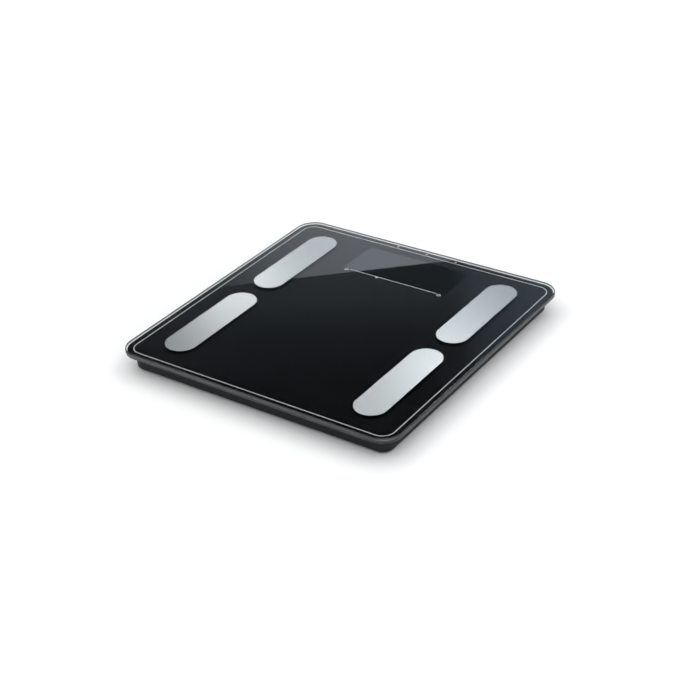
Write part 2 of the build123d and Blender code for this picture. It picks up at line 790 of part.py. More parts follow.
def battery_way(row):
    """Side that the plus end points to: outer batteries to the left, the middle one to the right."""
    return 1 if row == 0 else -1


def tail_places():
    """Where the two outer contacts leave the compartment: front row on the left, rear row on the right."""
    return [(-block_width / 2, battery_row_y(-1)), (block_width / 2, battery_row_y(1))]


def battery(row):
    """Round dry cell with its plus nub against the contact sheet."""
    way = battery_way(row)
    can_length = cell_length - cell_nub_length
    nub_end = way * (compartment_length / 2 - contact_thickness)
    can = cross_bar(nub_end - way * (cell_nub_length + can_length / 2), 0, 0, cell_diameter / 2, can_length)
    nub = cross_bar(nub_end - way * cell_nub_length / 2, 0, 0, cell_nub_radius, cell_nub_length)
    return Pos(0, battery_row_y(row), cell_middle) * (can + nub)


def contact_sheet(side, rows, spring_row):
    """Metal sheet on one end wall across some rows, with a folded spring leaf for a minus end."""
    wall_x = side * compartment_length / 2
    depth = (len(rows) - 1) * (cell_diameter + cell_gap) + cell_diameter - 2 * contact_edge_gap
    middle_y = sum(battery_row_y(row) for row in rows) / len(rows)
    sheet = block(wall_x - side * contact_thickness / 2, middle_y, cell_middle - contact_height / 2,
                  contact_thickness, depth, contact_height)
    if spring_row is not None:
        reach = spring_room - spring_clearance
        half = spring_height / 2
        leaf = Polygon((0, -half), (reach - contact_thickness, 0), (0, half))
        hollow = Polygon((0, -half / 2), ((reach - contact_thickness) / 2, 0), (0, half / 2))
        spring = extrude(Plane.XZ * (leaf - hollow), spring_width / 2, both=True)
        turn = Rot(0, 0, 180) if side > 0 else Rot(0, 0, 0)
        spring_x = wall_x - side * contact_thickness
        sheet += Pos(spring_x, battery_row_y(spring_row), cell_middle) * turn * spring
    return sheet


def contact_tail(side, row):
    """Strip from an outer contact through the end wall."""
    length = block_width / 2 - compartment_length / 2 + tail_overrun
    middle_x = side * (compartment_length / 2 + length / 2)
    return block(middle_x, battery_row_y(row), cell_middle - contact_thickness / 2, length, tail_width,
                 contact_thickness)


os.makedirs("parts", exist_ok=True)
nodes = {
    "glass_platform": glass_platform(),
    "back_print": back_print(),
    "pale_print": pale_print(),
    "display_filter": display_filter(),
    "electrode_nuts": group(electrode_nut(x, y) for x, y in studs()),
    "electrode_terminals": group(electrode_terminal(x, y) for x, y in studs()),
    "mounting_tape": mounting_tape(),
    "base_tray": base_tray(),
    "strain_gauges": group(strain_gauge(side, end) for side, end in corners.values()),
    "load_cell_screws": load_cell_screws(),
    "main_board": main_board(),
    "board_screws": board_screws(),
    "controller_chip": controller_chip(),
    "board_components": board_components(),
    "wire_headers": wire_headers(),
    "display_panel": display_panel(),
    "backlight": backlight(),
    "zebra_strip": zebra_strip(),
    "display_frame": display_frame(),
    "key_switches": group(key_switch(x) for x in key_places.values()),
    "unit_switch_body": unit_switch_body(),
    "unit_switch_knob": unit_switch_knob(),
    "battery_cover": battery_cover(),
    "battery_plus_tab": contact_sheet(-1, [-1], None) + contact_tail(-1, -1),
    "battery_minus_tab": contact_sheet(1, [1], 1) + contact_tail(1, 1),
    "battery_bridges": group([contact_sheet(1, [-1, 0], -1), contact_sheet(-1, [0, 1], 0)]),
    "battery_leads": group(battery_lead(side) for side in (-1, 1)),
}
for corner, (side, end) in corners.items():
    nodes["electrode_" + corner] = electrode(side, end)
    nodes["electrode_lead_" + corner] = electrode_lead(side, end)
    nodes["load_cell_" + corner] = load_cell(side, end)
    nodes["load_cell_lead_" + corner] = load_cell_lead(side, end)
    nodes["foot_shell_" + corner] = foot_shell(side, end)
    nodes["foot_pad_" + corner] = foot_pad(side, end)
for name, row in battery_rows.items():
    nodes[name] = battery(row)
for name, x in key_places.items():
    nodes[name] = setting_key(x)
for name, shape in nodes.items():
    export_step(shape, "parts/" + name + ".step")
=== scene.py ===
"""Looks of a digital bathroom scale with a glass top, four steel electrodes and a dark moulded tray.

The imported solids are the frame. The glass and the electrodes are surfaces worked out with numpy, the other
pieces keep their solids, and every piece gets a procedural finish. Sizes are in metres.
"""
import math

import bpy
import numpy as np
from bpy.props import FloatProperty, FloatVectorProperty, IntProperty, PointerProperty
from mathutils import Matrix, Vector


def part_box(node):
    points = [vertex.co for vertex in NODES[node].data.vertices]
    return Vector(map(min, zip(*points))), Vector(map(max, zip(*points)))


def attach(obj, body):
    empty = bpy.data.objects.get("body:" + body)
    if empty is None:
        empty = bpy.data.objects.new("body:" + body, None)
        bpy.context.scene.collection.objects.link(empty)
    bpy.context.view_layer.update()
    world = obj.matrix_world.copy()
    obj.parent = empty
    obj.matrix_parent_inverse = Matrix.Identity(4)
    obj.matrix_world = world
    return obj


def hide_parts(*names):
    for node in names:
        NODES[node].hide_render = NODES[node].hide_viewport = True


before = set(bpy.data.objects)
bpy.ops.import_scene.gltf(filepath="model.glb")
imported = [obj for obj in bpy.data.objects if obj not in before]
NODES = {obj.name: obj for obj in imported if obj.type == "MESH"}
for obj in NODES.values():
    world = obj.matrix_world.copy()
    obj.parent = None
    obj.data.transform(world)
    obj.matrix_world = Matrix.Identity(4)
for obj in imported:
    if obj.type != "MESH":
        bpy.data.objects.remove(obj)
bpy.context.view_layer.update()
ROOT = "scale_body"
CORNERS = ("front_left", "front_right", "rear_left", "rear_right")
GLASS_LOW, GLASS_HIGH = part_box("glass_platform")
PLATE_LOW, PLATE_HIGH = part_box("electrode_front_left")

# How finely curves are divided, and the flat ledge inside a round edge
CORNER_STEPS = 25
GLASS_EDGE_STEPS = 9
END_STEPS = 49
PLATE_EDGE_STEPS = 6
STUD_STEPS = 32
LEDGE = 0.00005
SHARP_ANGLE = math.radians(40)

# The ground rim of the glass beside its polished faces
RIM_SHADE = 0.3
RIM_ROUGHNESS = 0.34
# Scale of Blender's wave texture that gives one band per metre
ONE_BAND = 0.31416

bl_info = {
    "name": "Bathroom scale",
    "version": (1, 0, 0),
    "blender": (4, 5, 0),
    "location": "3D View > Sidebar > Scale",
    "description": "Glass, electrodes, finishes and stage for a digital bathroom scale",
    "category": "Add Mesh",
}


def metres(name, description, default):
    """A size in metres."""
    return FloatProperty(name=name, description=description, default=default, min=0.0, precision=5,
                         unit="LENGTH")


def colour(name, description, default):
    """A colour in linear values."""
    return FloatVectorProperty(name=name, description=description, default=default, size=3, min=0.0, max=1.0,
                               subtype="COLOR")


def place(name, description, default):
    """A point in the scale's frame."""
    return FloatVectorProperty(name=name, description=description, default=default, size=3, precision=5,
                               subtype="TRANSLATION")


class SCALE_PG_glass(bpy.types.PropertyGroup):
    """Sizes and tint of the glass."""
    width: metres("Width", "Glass from side to side", GLASS_HIGH.x - GLASS_LOW.x)
    depth: metres("Depth", "Glass from front to rear", GLASS_HIGH.y - GLASS_LOW.y)
    corner: metres("Corner", "Radius of the corners in plan", 0.020)
    edge: metres("Edge", "Radius of the ground edges", 0.0012)
    bond: metres("Bond", "How far the print lies inside the glass, so that no air shows between them", 0.00002)
    tint: colour("Tint", "Colour of the clear glass", (0.93, 0.965, 0.96))


class SCALE_PG_electrodes(bpy.types.PropertyGroup):
    """Sizes and colour of the electrodes."""
    width: metres("Width", "Plate from side to side", PLATE_HIGH.x - PLATE_LOW.x)
    length: metres("Length", "Plate from end to end", PLATE_HIGH.y - PLATE_LOW.y)
    edge: metres("Edge", "Radius of the upper edge", 0.00015)
    stud: metres("Stud", "Radius of the stud under the plate", 0.0015)
    stud_end: metres("Stud place", "Inner end of the plate to the stud", 0.020)
    steel: colour("Steel", "Colour of the brushed steel", (0.68, 0.72, 0.735))


class SCALE_PG_finishes(bpy.types.PropertyGroup):
    """Colours of the printed and moulded pieces."""
    black_print: colour("Print", "Black print behind the glass", (0.0025, 0.003, 0.0045))
    pale_ink: colour("Lines", "Pale lines and marks in the print", (0.93, 0.94, 0.95))
    smoked_film: colour("Window", "Smoked film over the display", (0.0015, 0.0015, 0.0018))
    tray: colour("Tray", "Moulded tray, keys and cover", (0.0074, 0.0082, 0.0096))
    rubber: colour("Rubber", "Rubber of the foot pads", (0.16, 0.16, 0.165))
    board: colour("Board", "Solder mask of the circuit board", (0.02, 0.16, 0.07))


class SCALE_PG_stage(bpy.types.PropertyGroup):
    """Camera, floor and light."""
    camera: place("Camera", "Where the camera stands", (0.72222, -1.00918, 0.74101))
    aim: place("Aim", "Point in the middle of the picture", (0.02056, -0.03705, 0.02321))
    roll: FloatProperty(name="Roll", description="Tilt of the camera about its line of sight",
                        default=math.radians(-3.0258), subtype="ANGLE")
    lens: FloatProperty(name="Lens", description="Focal length in millimetres", default=80.4916, min=1.0)
    floor: colour("Floor", "Plain pale floor", (0.93, 0.93, 0.93))
    floor_radius: metres("Floor radius", "How far the floor reaches", 40.0)
    floor_sides: IntProperty(name="Floor sides", description="Straight sides of the floor's edge",
                             default=96, min=8)


def rounded_outline(width, depth, radius, steps):
    """Points round a rectangle with round corners, and the outward direction at each.

    A corner's points are its centre plus the radius times (cos a, sin a), with a over its quarter turn.
    """
    turn = np.linspace(0.0, np.pi / 2, steps)
    angles = (np.arange(4)[:, None] * np.pi / 2 + turn).ravel()
    signs = np.array([[1, 1], [-1, 1], [-1, -1], [1, -1]])
    centres = np.repeat(signs * [width / 2 - radius, depth / 2 - radius], steps, axis=0)
    outward = np.stack([np.cos(angles), np.sin(angles)], axis=1)
    return centres + radius * outward, outward


def stadium_outline(width, depth, steps):
    """Points round a strip with half-round ends along Y, and the outward direction at each.

    Each end's points are its centre plus half the width times (cos a, sin a), with a over its half turn.
    """
    turn = np.linspace(0.0, np.pi, steps)
    angles = np.concatenate([turn, turn + np.pi])
    middle = (depth - width) / 2
    centres = np.stack([np.zeros(2 * steps), np.repeat([middle, -middle], steps)], axis=1)
    outward = np.stack([np.cos(angles), np.sin(angles)], axis=1)
    return centres + width / 2 * outward, outward


def circle_outline(radius, steps):
    """Points (radius cos a, radius sin a) round a circle, and the outward direction at each."""
    angles = np.arange(steps) * 2 * np.pi / steps
    outward = np.stack([np.cos(angles), np.sin(angles)], axis=1)
    return radius * outward, outward


def edge_profile(low, high, low_edge, high_edge, steps):
    """Section of a plate's edge as (inset, height) rows, from under the plate round to its top.

    Each round edge is a quarter circle; a narrow flat ledge inside it keeps the faces next to it flat.
    An edge of no radius is a single row.
    """
    turn = np.linspace(0.0, np.pi / 2, steps)
    below = np.stack([low_edge * (1 - np.sin(turn)), low + low_edge * (1 - np.cos(turn))], axis=1)
    above = np.stack([high_edge * (1 - np.cos(turn)), high - high_edge * (1 - np.sin(turn))], axis=1)
    if low_edge == 0.0:
        below = below[:1]
    if high_edge == 0.0:
        above = above[:1]
    return np.concatenate([[[low_edge + LEDGE, low]], below, above, [[high_edge + LEDGE, high]]])


def carried_profile(outline, profile):
    """Closed surface: each row of the profile is the outline moved inwards by its inset, at its height.

    Neighbouring rows are joined by four-sided faces, and the first and last rows are capped.
    Returns the points, the four-sided faces and the two caps.
    """
    points, outward = outline
    rings = points[None] - profile[:, 0, None, None] * outward[None]
    rows, columns = rings.shape[:2]
    heights = np.broadcast_to(profile[:, 1, None, None], (rows, columns, 1))
    vertices = np.concatenate([rings, heights], axis=2).reshape(-1, 3)
    column = np.arange(columns)
    following = np.roll(column, -1)
    row = np.arange(rows - 1)[:, None] * columns
    corners = [row + column, row + following, row + columns + following, row + columns + column]
    quads = np.stack(corners, axis=2).reshape(-1, 4)
    caps = np.stack([column[::-1], (rows - 1) * columns + column])
    return vertices, quads, caps


def joined(*surfaces):
    """Points of one or more surfaces, and their faces as lists of point numbers.

    Each surface's faces count on from where its points start.
    """
    starts = np.cumsum([0] + [len(vertices) for vertices, _, _ in surfaces])
    faces = []
    for start, (_, quads, caps) in zip(starts, surfaces):
        faces += (quads + start).tolist() + (caps + start).tolist()
    return np.concatenate([vertices for vertices, _, _ in surfaces]), faces


def new_piece(name, surface, finish, slot, body, *nodes):
    """Puts a surface into the scene as a piece that rides on a body and stands for its nodes."""
    vertices, faces = surface
    mesh = bpy.data.meshes.new(name)
    mesh.from_pydata(vertices.tolist(), [], faces)
    mesh.polygons.foreach_set("use_smooth", np.ones(len(faces), dtype=bool))
    mesh.set_sharp_from_angle(angle=SHARP_ANGLE)
    plan = mesh.uv_layers.new(name="plan")
    corners = np.empty(len(mesh.loops), dtype=np.int32)
    mesh.loops.foreach_get("vertex_index", corners)
    plan.data.foreach_set("uv", vertices[corners][:, :2].ravel())
    mesh.materials.append(finish)
    piece = bpy.data.objects.new(name, mesh)
    bpy.context.scene.collection.objects.link(piece)
    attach(piece, body)
    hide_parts(*nodes)
    return piece


def dress(finish, *names):
    """Gives CAD nodes a finish."""
    for name in names:
        for slot in NODES[name].material_slots:
            slot.material = finish


class Finish:
    """A node material with one Principled shader, and the patterns that feed it."""

    def __init__(self, name):
        self.material = bpy.data.materials.new(name)
        self.material.use_nodes = True
        self.tree = self.material.node_tree
        self.shader = self.tree.nodes["Principled BSDF"]
        self.coordinates = self.node("ShaderNodeTexCoord")

    def node(self, kind, **values):
        """A new node, with settings of its own."""
        made = self.tree.nodes.new(kind)
        for key, value in values.items():
            setattr(made, key, value)
        return made

    def link(self, source, target):
        """Joins an output to an input."""
        self.tree.links.new(source, target)

    def constant(self, **values):
        """Sets sockets of the shader, named with underscores for spaces."""
        for key, value in values.items():
            self.shader.inputs[key.replace("_", " ")].default_value = value

    def mapped(self, scale, turn=(0.0, 0.0, 0.0)):
        """Object coordinates, scaled and turned."""
        mapping = self.node("ShaderNodeMapping")
        mapping.inputs["Scale"].default_value = scale
        mapping.inputs["Rotation"].default_value = turn
        self.link(self.coordinates.outputs["Object"], mapping.inputs["Vector"])
        return mapping.outputs["Vector"]

    def noise(self, scale, detail=3.0, roughness=0.5):
        """Noise whose scale may differ along each axis, in cells per metre."""
        texture = self.node("ShaderNodeTexNoise")
        texture.inputs["Scale"].default_value = 1.0
        texture.inputs["Detail"].default_value = detail
        texture.inputs["Roughness"].default_value = roughness
        self.link(self.mapped(scale), texture.inputs["Vector"])
        return texture.outputs["Fac"]

    def stripes(self, scale, axis, distortion=0.0):
        """Bands across an axis, in bands per metre."""
        texture = self.node("ShaderNodeTexWave", wave_type="BANDS", bands_direction=axis)
        texture.inputs["Scale"].default_value = 1.0
        texture.inputs["Distortion"].default_value = distortion
        self.link(self.mapped((scale * ONE_BAND,) * 3), texture.inputs["Vector"])
        return texture.outputs["Fac"]

    def colours(self, pattern, low, high, low_at=0.3, high_at=0.7):
        """Base colour between two colours, by a pattern."""
        ramp = self.node("ShaderNodeValToRGB")
        ramp.color_ramp.elements[0].position = low_at
        ramp.color_ramp.elements[1].position = high_at
        ramp.color_ramp.elements[0].color = (*low, 1.0)
        ramp.color_ramp.elements[1].color = (*high, 1.0)
        self.link(pattern, ramp.inputs["Fac"])
        self.link(ramp.outputs["Color"], self.shader.inputs["Base Color"])

    def roughness(self, pattern, low, high):
        """Roughness between two values, by a pattern."""
        spread = self.node("ShaderNodeMapRange")
        spread.inputs["From Min"].default_value = 0.3
        spread.inputs["From Max"].default_value = 0.7
        spread.inputs["To Min"].default_value = low
        spread.inputs["To Max"].default_value = high
        self.link(pattern, spread.inputs["Value"])
        self.link(spread.outputs["Result"], self.shader.inputs["Roughness"])

    def bump(self, pattern, height, strength=1.0):
        """Relief of a pattern, its height in metres."""
        relief = self.node("ShaderNodeBump")
        relief.inputs["Strength"].default_value = strength
        relief.inputs["Distance"].default_value = height
        self.link(pattern, relief.inputs["Height"])
        self.link(relief.outputs["Normal"], self.shader.inputs["Normal"])


def shade(tone, factor):
    """A colour made darker or paler by one factor."""
    return tuple(min(1.0, value * factor) for value in tone)


def glass_finish(tint):
    """Glass with clear polished faces and a darker satin rim, told apart by a value on the points."""
    finish = Finish("clear_glass")
    rim = finish.node("ShaderNodeAttribute", attribute_name="ground_rim").outputs["Fac"]
    finish.colours(rim, tint, shade(tint, RIM_SHADE))
    finish.roughness(rim, 0.0, RIM_ROUGHNESS)
    finish.constant(Transmission_Weight=1.0, IOR=1.5)
    return finish.material


def print_finish(name, tone, spread, specular, rough):
    """Ink in contact with glass: an even tone with the fine mottle of a screen print, glossy or not."""
    finish = Finish(name)
    mottle = finish.noise((900.0, 900.0, 900.0), 2.0)
    finish.colours(mottle, shade(tone, 1 - spread), shade(tone, 1 + spread))
    finish.roughness(mottle, rough * 0.95, rough * 1.05)
    finish.constant(Specular_IOR_Level=specular)
    return finish.material


def film_finish(tone):
    """Smoked film over the display: nearly black, and a mirror on the side that faces the glass."""
    finish = Finish("smoked_film")
    mottle = finish.noise((60.0, 60.0, 60.0), 2.0)
    finish.colours(mottle, shade(tone, 0.8), shade(tone, 1.2))
    finish.roughness(mottle, 0.004, 0.008)
    finish.constant(IOR=1.85)
    return finish.material


def steel_finish(name, tone, rough, streak, stretch=0.0):
    """Brushed steel: streaks along Y, fine across X, in colour, roughness and relief.

    Where its highlights are stretched across the streaks, the piece needs a UV map named plan.
    """
    finish = Finish(name)
    grain = finish.noise((streak, streak / 90, streak / 90), 4.0, 0.65)
    finish.colours(grain, shade(tone, 0.97), shade(tone, 1.03))
    finish.roughness(grain, rough * 0.97, rough * 1.03)
    finish.bump(grain, 0.0000004, 0.3)
    finish.constant(Metallic=1.0, Anisotropic=stretch)
    if stretch:
        along = finish.node("ShaderNodeTangent", direction_type="UV_MAP", uv_map="plan")
        finish.link(along.outputs["Tangent"], finish.shader.inputs["Tangent"])
    return finish.material


def plastic_finish(name, tone, rough=0.5, grain_scale=1800.0, relief=0.00002, specular=0.5):
    """Moulded plastic: a fine spark-eroded grain in relief, and a slow drift in tone and gloss."""
    finish = Finish(name)
    drift = finish.noise((35.0, 35.0, 35.0), 4.0)
    finish.colours(drift, shade(tone, 0.88), shade(tone, 1.12))
    finish.roughness(drift, rough * 0.92, rough * 1.08)
    finish.bump(finish.noise((grain_scale,) * 3, 2.0), relief, 0.6)
    finish.constant(Specular_IOR_Level=specular)
    return finish.material


def metal_finish(name, tone, rough):
    """Plated or drawn metal: a soft mottle in colour and gloss."""
    finish = Finish(name)
    mottle = finish.noise((400.0, 400.0, 400.0), 4.0)
    finish.colours(mottle, shade(tone, 0.86), shade(tone, 1.08))
    finish.roughness(mottle, rough * 0.8, rough * 1.25)
    finish.constant(Metallic=1.0)
    return finish.material


def striped_finish(name, low, high, bands, axis, rough):
    """Two tones in even bands across an axis."""
    finish = Finish(name)
    pattern = finish.stripes(bands, axis)
    finish.colours(pattern, low, high, 0.45, 0.55)
    finish.roughness(pattern, rough * 0.9, rough * 1.1)
    return finish.material


def board_finish(tone):
    """Solder mask over copper: paler tracks show through the mask as bands that wander."""
    finish = Finish("board_laminate")
    tracks = finish.stripes(260.0, "X", 6.0)
    finish.colours(tracks, tone, shade(tone, 1.7), 0.6, 0.7)
    finish.roughness(tracks, 0.25, 0.35)
    finish.bump(tracks, 0.00002, 0.5)
    return finish.material


class SCALE_OT_glass(bpy.types.Operator):
    """Makes the glass: a flat plate with round corners and ground round edges"""
    bl_idname = "scale.glass"
    bl_label = "Glass"

    def execute(self, context):
        sizes = context.scene.scale_glass
        outline = rounded_outline(sizes.width, sizes.depth, sizes.corner, CORNER_STEPS)
        profile = edge_profile(GLASS_LOW.z - sizes.bond, GLASS_HIGH.z, sizes.edge, sizes.edge, GLASS_EDGE_STEPS)
        surface = joined(carried_profile(outline, profile))
        glass = new_piece("glass", surface, glass_finish(sizes.tint), "clear_glass", ROOT, "glass_platform")
        heights = surface[0][:, 2]
        on_rim = ~np.isin(heights, [heights.min(), heights.max()])
        rim = glass.data.attributes.new("ground_rim", "FLOAT", "POINT")
        rim.data.foreach_set("value", on_rim.astype(np.float32))
        return {"FINISHED"}


class SCALE_OT_prints(bpy.types.Operator):
    """Gives the print, the pale lines and the display window their finishes"""
    bl_idname = "scale.prints"
    bl_label = "Print and window"

    def execute(self, context):
        tones = context.scene.scale_finishes
        dress(print_finish("black_print", tones.black_print, spread=0.12, specular=0.65, rough=0.095),
              "back_print")
        dress(print_finish("pale_ink", tones.pale_ink, spread=0.06, specular=0.0, rough=0.6), "pale_print")
        dress(film_finish(tones.smoked_film), "display_filter")
        return {"FINISHED"}


class SCALE_OT_electrodes(bpy.types.Operator):
    """Makes the four electrodes: steel strips with half-round ends, each with the stud under it"""
    bl_idname = "scale.electrodes"
    bl_label = "Electrodes"

    def execute(self, context):
        sizes = context.scene.scale_electrodes
        finish = steel_finish("electrode_steel", sizes.steel, rough=0.225, streak=4200.0, stretch=0.85)
        for corner in CORNERS:
            low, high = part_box("electrode_" + corner)
            middle = (low + high) / 2
            plate = carried_profile(stadium_outline(sizes.width, sizes.length, END_STEPS),
                                    edge_profile(GLASS_HIGH.z, high.z, 0.0, sizes.edge, PLATE_EDGE_STEPS))
            stud = carried_profile(circle_outline(sizes.stud, STUD_STEPS),
                                   edge_profile(low.z, GLASS_HIGH.z, 0.0, 0.0, 1))
            inwards = -1.0 if middle.y > 0 else 1.0
            stud[0][:, 1] += inwards * (sizes.length / 2 - sizes.stud_end)
            vertices, faces = joined(plate, stud)
            vertices[:, :2] += [middle.x, middle.y]
            new_piece("electrode_plate_" + corner, (vertices, faces), finish, "electrode_steel", ROOT,
                      "electrode_" + corner)
        return {"FINISHED"}


class SCALE_OT_tray(bpy.types.Operator):
    """Gives the tray, its tape and the battery cover their finishes"""
    bl_idname = "scale.tray"
    bl_label = "Tray"

    def execute(self, context):
        tone = context.scene.scale_finishes.tray
        dress(plastic_finish("tray_plastic", tone, 0.45, specular=0.22), "base_tray", "battery_cover")
        dress(plastic_finish("foam_tape", (0.05, 0.05, 0.05), 0.85, 900.0, 0.0001, 0.2), "mounting_tape")
        return {"FINISHED"}


class SCALE_OT_feet(bpy.types.Operator):
    """Gives the feet, their pads and the load cells their finishes"""
    bl_idname = "scale.feet"
    bl_label = "Feet and load cells"

    def execute(self, context):
        rubber = context.scene.scale_finishes.rubber
        dress(plastic_finish("foot_plastic", (0.075, 0.075, 0.08), 0.5),
              *["foot_shell_" + corner for corner in CORNERS])
        dress(plastic_finish("foot_rubber", rubber, 0.8, 1200.0, 0.00005, 0.25),
              *["foot_pad_" + corner for corner in CORNERS])
        dress(steel_finish("load_cell_steel", (0.58, 0.58, 0.57), 0.38, 1500.0),
              *["load_cell_" + corner for corner in CORNERS])
        dress(striped_finish("gauge_foil", (0.55, 0.33, 0.1), (0.72, 0.56, 0.3), 2500.0, "Y", 0.4),
              "strain_gauges")
        return {"FINISHED"}


class SCALE_OT_keys(bpy.types.Operator):
    """Gives the keys, the knob of the unit switch, the key switches and the display's frame their finishes"""
    bl_idname = "scale.keys"
    bl_label = "Keys and switches"

    def execute(self, context):
        tone = context.scene.scale_finishes.tray
        dress(plastic_finish("key_plastic", shade(tone, 1.25), 0.38), "key_down", "key_set", "key_up",
              "unit_switch_knob")
        dress(plastic_finish("switch_plastic", (0.02, 0.02, 0.02), 0.4), "key_switches", "display_frame")
        return {"FINISHED"}


class SCALE_OT_batteries(bpy.types.Operator):
    """Gives the cells, their contacts and the terminals of the electrodes their finishes"""
    bl_idname = "scale.batteries"
    bl_label = "Batteries and contacts"

    def execute(self, context):
        dress(striped_finish("cell_wrap", (0.03, 0.03, 0.035), (0.5, 0.36, 0.12), 32.0, "X", 0.3),
              "battery_front", "battery_middle", "battery_rear")
        dress(metal_finish("contact_metal", (0.78, 0.77, 0.74), 0.28), "battery_plus_tab", "battery_minus_tab",
              "battery_bridges", "electrode_terminals")
        return {"FINISHED"}


class SCALE_OT_board(bpy.types.Operator):
    """Gives the circuit board, the display and what they carry their finishes"""
    bl_idname = "scale.board"
    bl_label = "Board and display"

    def execute(self, context):
        dress(board_finish(context.scene.scale_finishes.board), "main_board")
        dress(plastic_finish("chip_resin", (0.02, 0.02, 0.02), 0.6), "controller_chip")
        dress(plastic_finish("header_plastic", (0.75, 0.73, 0.66), 0.5), "wire_headers", "board_components")
        dress(striped_finish("display_glass", (0.05, 0.055, 0.06), (0.07, 0.08, 0.075), 900.0, "Y", 0.08),
              "display_panel")
        dress(plastic_finish("light_guide", (0.82, 0.83, 0.85), 0.3, 2500.0, 0.00001), "backlight")
        dress(striped_finish("strip_rubber", (0.02, 0.02, 0.02), (0.42, 0.4, 0.4), 4000.0, "X", 0.7),
              "zebra_strip")
        return {"FINISHED"}


class SCALE_OT_wiring(bpy.types.Operator):
    """Gives the wires, nuts, screws and the shell of the unit switch their finishes"""
    bl_idname = "scale.wiring"
    bl_label = "Wires and fixings"

    def execute(self, context):
        leads = [kind + corner for kind in ("electrode_lead_", "load_cell_lead_") for corner in CORNERS]
        dress(plastic_finish("wire_sleeve", (0.45, 0.03, 0.03), 0.45, 900.0, 0.00001), *leads, "battery_leads")
        dress(metal_finish("bright_steel", (0.75, 0.75, 0.74), 0.22), "electrode_nuts", "load_cell_screws",
              "board_screws", "unit_switch_body")
        return {"FINISHED"}


# The studio's light, in stops of (place, colour). Height is the sine of the angle above the horizon; across is
# how far a direction leans to the right as the camera sees the wall behind the scale.
ACROSS = (0.73012, 0.68332, 0.0)
DOME_BY_HEIGHT = ((0.0, (0.85, 0.85, 0.85)), (0.30, (0.8, 0.8, 0.8)), (0.42, (0.30, 0.36, 0.43)),
                  (0.475, (0.062, 0.078, 0.092)), (0.49, (0.062, 0.078, 0.092)), (0.51, (0.02, 0.025, 0.03)),
                  (0.54, (0.004, 0.004, 0.005)), (0.58, (0.004, 0.004, 0.005)), (0.66, (0.8, 0.8, 0.8)),
                  (0.74, (1.5, 1.5, 1.5)), (0.80, (2.9, 2.9, 2.9)), (0.84, (2.8, 2.8, 2.8)),
                  (0.88, (1.15, 1.15, 1.15)), (0.94, (0.9, 0.9, 0.9)), (1.0, (0.85, 0.85, 0.85)))
# A pale wall behind and to the left; its normal is square to the edge that the glass mirrors
WALL_NORMAL = (-0.32727, 0.34969, -0.87784)
WALL_ACROSS = ((0.015, (0.10, 0.12, 0.13)), (0.045, (0.26, 0.30, 0.33)), (0.07, (0.57, 0.64, 0.69)),
               (0.10, (0.78, 0.84, 0.93)), (0.125, (0.82, 0.89, 1.0)), (0.18, (0.82, 0.89, 1.0)))
WALL_EDGE = (0.0, 0.0006)
WALL_END = (0.05, 0.10)
# The studio is darker low down behind the wall
BACK = (-0.585, 0.811, 0.0)
SHADE_BY_HEIGHT = ((0.0, (0.75,) * 3), (0.36, (0.75,) * 3), (0.43, (0.0,) * 3))
SHADE_BY_BACK = ((0.50, (0.0,) * 3), (0.80, (1.0,) * 3))
# Two soft boxes that the brushed steel catches and the flat glass does not: one high on the right, one low
# behind. Their sides lean, so each has its own axis across; the shift keeps its values above nothing.
HIGH_BOX_ACROSS = (0.73012, 0.68332, -0.9)
HIGH_BOX_BY_SIDE = ((0.167, (0.0,) * 3), (0.187, (9.9,) * 3), (0.227, (9.9,) * 3), (0.247, (0.0,) * 3))
HIGH_BOX_BY_HEIGHT = ((0.572, (0.0,) * 3), (0.585, (1.0,) * 3), (0.62, (1.0,) * 3), (0.68, (0.0,) * 3))
LOW_BOX_ACROSS = (0.73012, 0.68332, -0.25)
LOW_BOX_BY_SIDE = ((0.365, (0.0,) * 3), (0.385, (5.4,) * 3), (0.422, (5.4,) * 3), (0.442, (0.0,) * 3))
LOW_BOX_BY_HEIGHT = ((0.27, (0.0,) * 3), (0.31, (1.0,) * 3), (0.42, (1.0,) * 3), (0.435, (0.0,) * 3))
SIDE_SHIFT = 0.5
# A faint glow low on the right
GLOW_BY_HEIGHT = ((0.35, (0.0,) * 3), (0.42, (1.0,) * 3), (0.52, (1.0,) * 3), (0.56, (0.0,) * 3))
GLOW_ACROSS = ((0.185, (0.0, 0.0, 0.0)), (0.20, (0.07, 0.10, 0.13)), (0.25, (0.17, 0.22, 0.27)))
# Fill light from the right
FILL_FROM = (1.0, -0.15, 0.0)
FILL_BY_LEAN = ((0.0, (0.0,) * 3), (0.35, (0.05,) * 3), (1.0, (0.36,) * 3))
BRIGHTEST = 10.0


